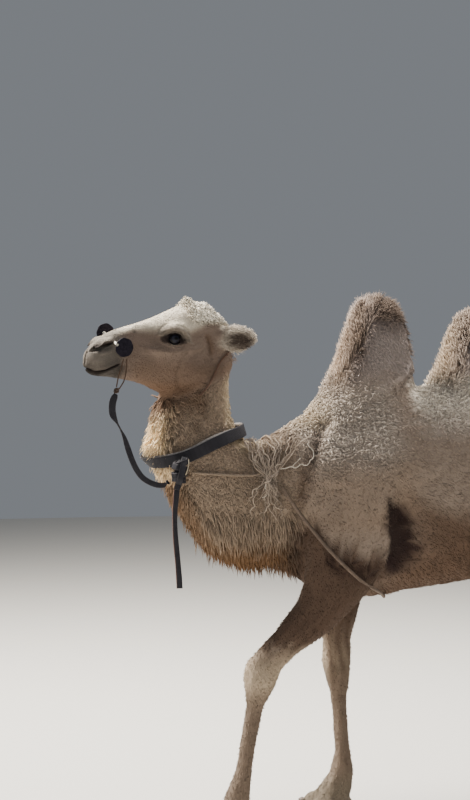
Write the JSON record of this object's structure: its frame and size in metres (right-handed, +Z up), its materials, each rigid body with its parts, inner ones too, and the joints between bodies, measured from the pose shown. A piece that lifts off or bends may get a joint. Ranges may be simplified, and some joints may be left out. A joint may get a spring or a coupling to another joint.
{
  "type": "bactrian camel, still life-size model",
  "caption": "Two-humped camel in short summer coat, walking pose, with a neck collar, nose peg and light cords.",
  "frame": {"origin": "on the floor under the middle of the bounding box", "axes": "the animal faces -X, its right side is +Y, +Z is up"},
  "size_m": [2.4918, 0.6404, 2.1012],
  "materials": {
    "pale_coat": "short cream hair",
    "neck_coat": "long ginger wool",
    "crest_coat": "dark brown crest hair",
    "body_coat": "short grey-beige summer coat",
    "eye_dark": "wet dark eye",
    "horn_nail": "dull horn",
    "black_webbing": "woven black webbing",
    "dark_leather": "stiff dark leather",
    "pale_bone": "smooth bone",
    "brown_cord": "twisted hair cord"
  },
  "bodies": {
    "root": {"collar": "black_webbing", "collar_knot": "black_webbing", "ear_left": "pale_coat", "ear_right": "pale_coat", "eye_left": "eye_dark", "eye_right": "eye_dark", "foreleg_left": "body_coat", "foreleg_left_nail_inner": "horn_nail", "foreleg_left_nail_outer": "horn_nail", "foreleg_right": "body_coat", "foreleg_right_nail_inner": "horn_nail", "foreleg_right_nail_outer": "horn_nail", "girth_cord": "brown_cord", "head": "pale_coat", "hindleg_left": "body_coat", "hindleg_left_nail_inner": "horn_nail", "hindleg_left_nail_outer": "horn_nail", "hindleg_right": "body_coat", "hindleg_right_nail_inner": "horn_nail", "hindleg_right_nail_outer": "horn_nail", "hump_front": "crest_coat", "hump_rear": "crest_coat", "line_knot": "brown_cord", "neck_lower": "neck_coat", "neck_upper": "neck_coat", "nose_cord_front": "brown_cord", "nose_cord_rear": "brown_cord", "nose_disc_left": "dark_leather", "nose_disc_right": "dark_leather", "nose_line": "black_webbing", "nose_peg": "pale_bone", "strap_tail": "black_webbing", "tail": "body_coat", "throat_cord": "brown_cord", "trunk": "body_coat", "twine": "brown_cord"}
  },
  "joints": []
}
